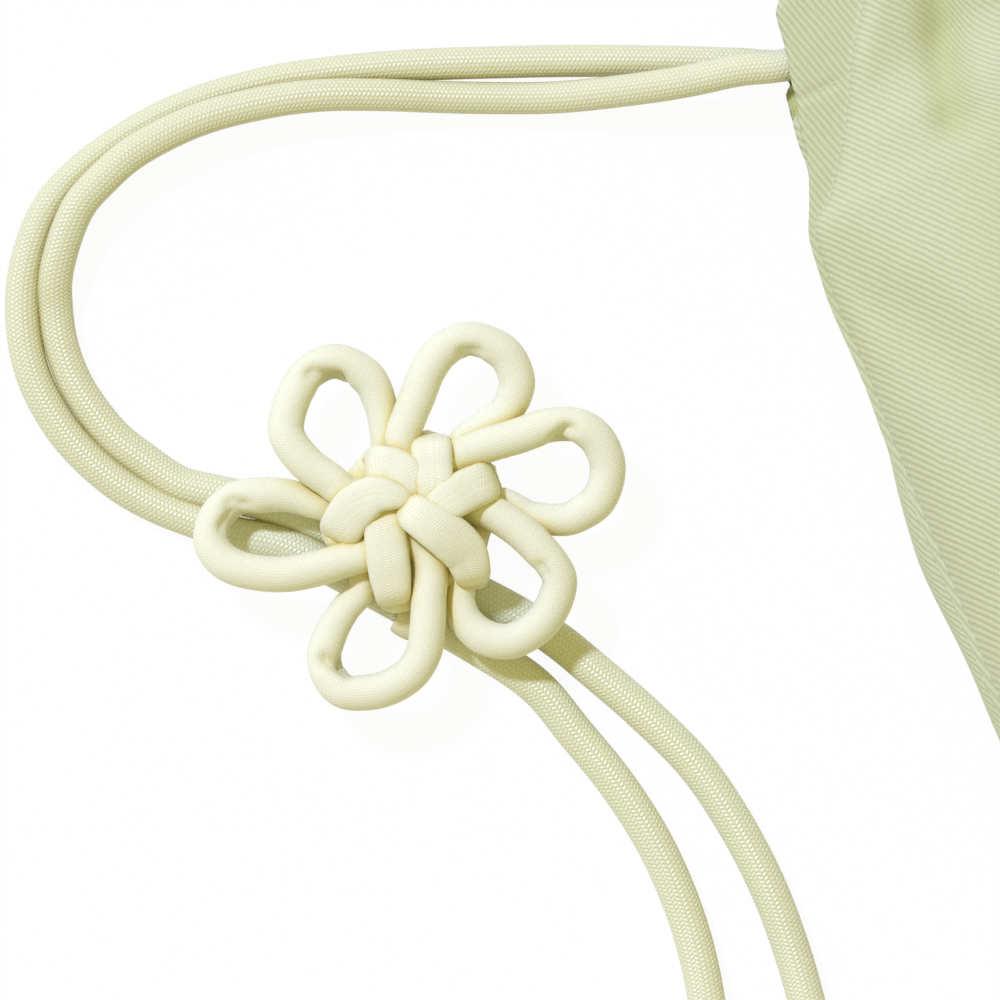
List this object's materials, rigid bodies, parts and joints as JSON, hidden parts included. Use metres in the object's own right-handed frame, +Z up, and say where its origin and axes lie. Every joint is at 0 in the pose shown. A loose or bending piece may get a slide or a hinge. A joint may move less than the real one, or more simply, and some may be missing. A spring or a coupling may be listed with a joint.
{
  "type": "drawstring pouch with a flower knot",
  "caption": "Soft twill drawstring pouch lying on its back, its doubled braided cord drawn out through a side slit and passing behind a sliding flower knot of tubular knit cord.",
  "frame": {"origin": "on the surface that the pouch lies on, under the middle of the bag", "axes": "+X across the bag to its right side, +Y from the bottom seam to the mouth, +Z up through the front panel"},
  "size_m": [0.3241, 0.2384, 0.0558],
  "materials": {
    "twill": "pale green cotton twill, matt",
    "braid": "pale yellow-green braided cord with a soft sheen",
    "knit": "cream-white knitted tube, matt"
  },
  "bodies": {
    "bag": {"front_panel": "twill", "back_panel": "twill", "front_hem_facing": "twill", "back_hem_facing": "twill", "drawstring_hem_run": "braid"},
    "drawstring": {"front_strand": "braid", "back_strand": "braid", "front_tail_knot": "braid", "back_tail_knot": "braid"},
    "flower": {"flower_knot": "knit", "knot_keeper_loop": "knit"}
  },
  "joints": [
    {"name": "drawstring_pull", "type": "slide", "parent": "bag", "child": "drawstring", "axis": [-1, 0, 0], "range_m": [0, 0.04]},
    {"name": "knot_slide", "type": "slide", "parent": "drawstring", "child": "flower", "axis": [0.6239, -0.7815, 0], "range_m": [-0.01, 0.01]}
  ]
}
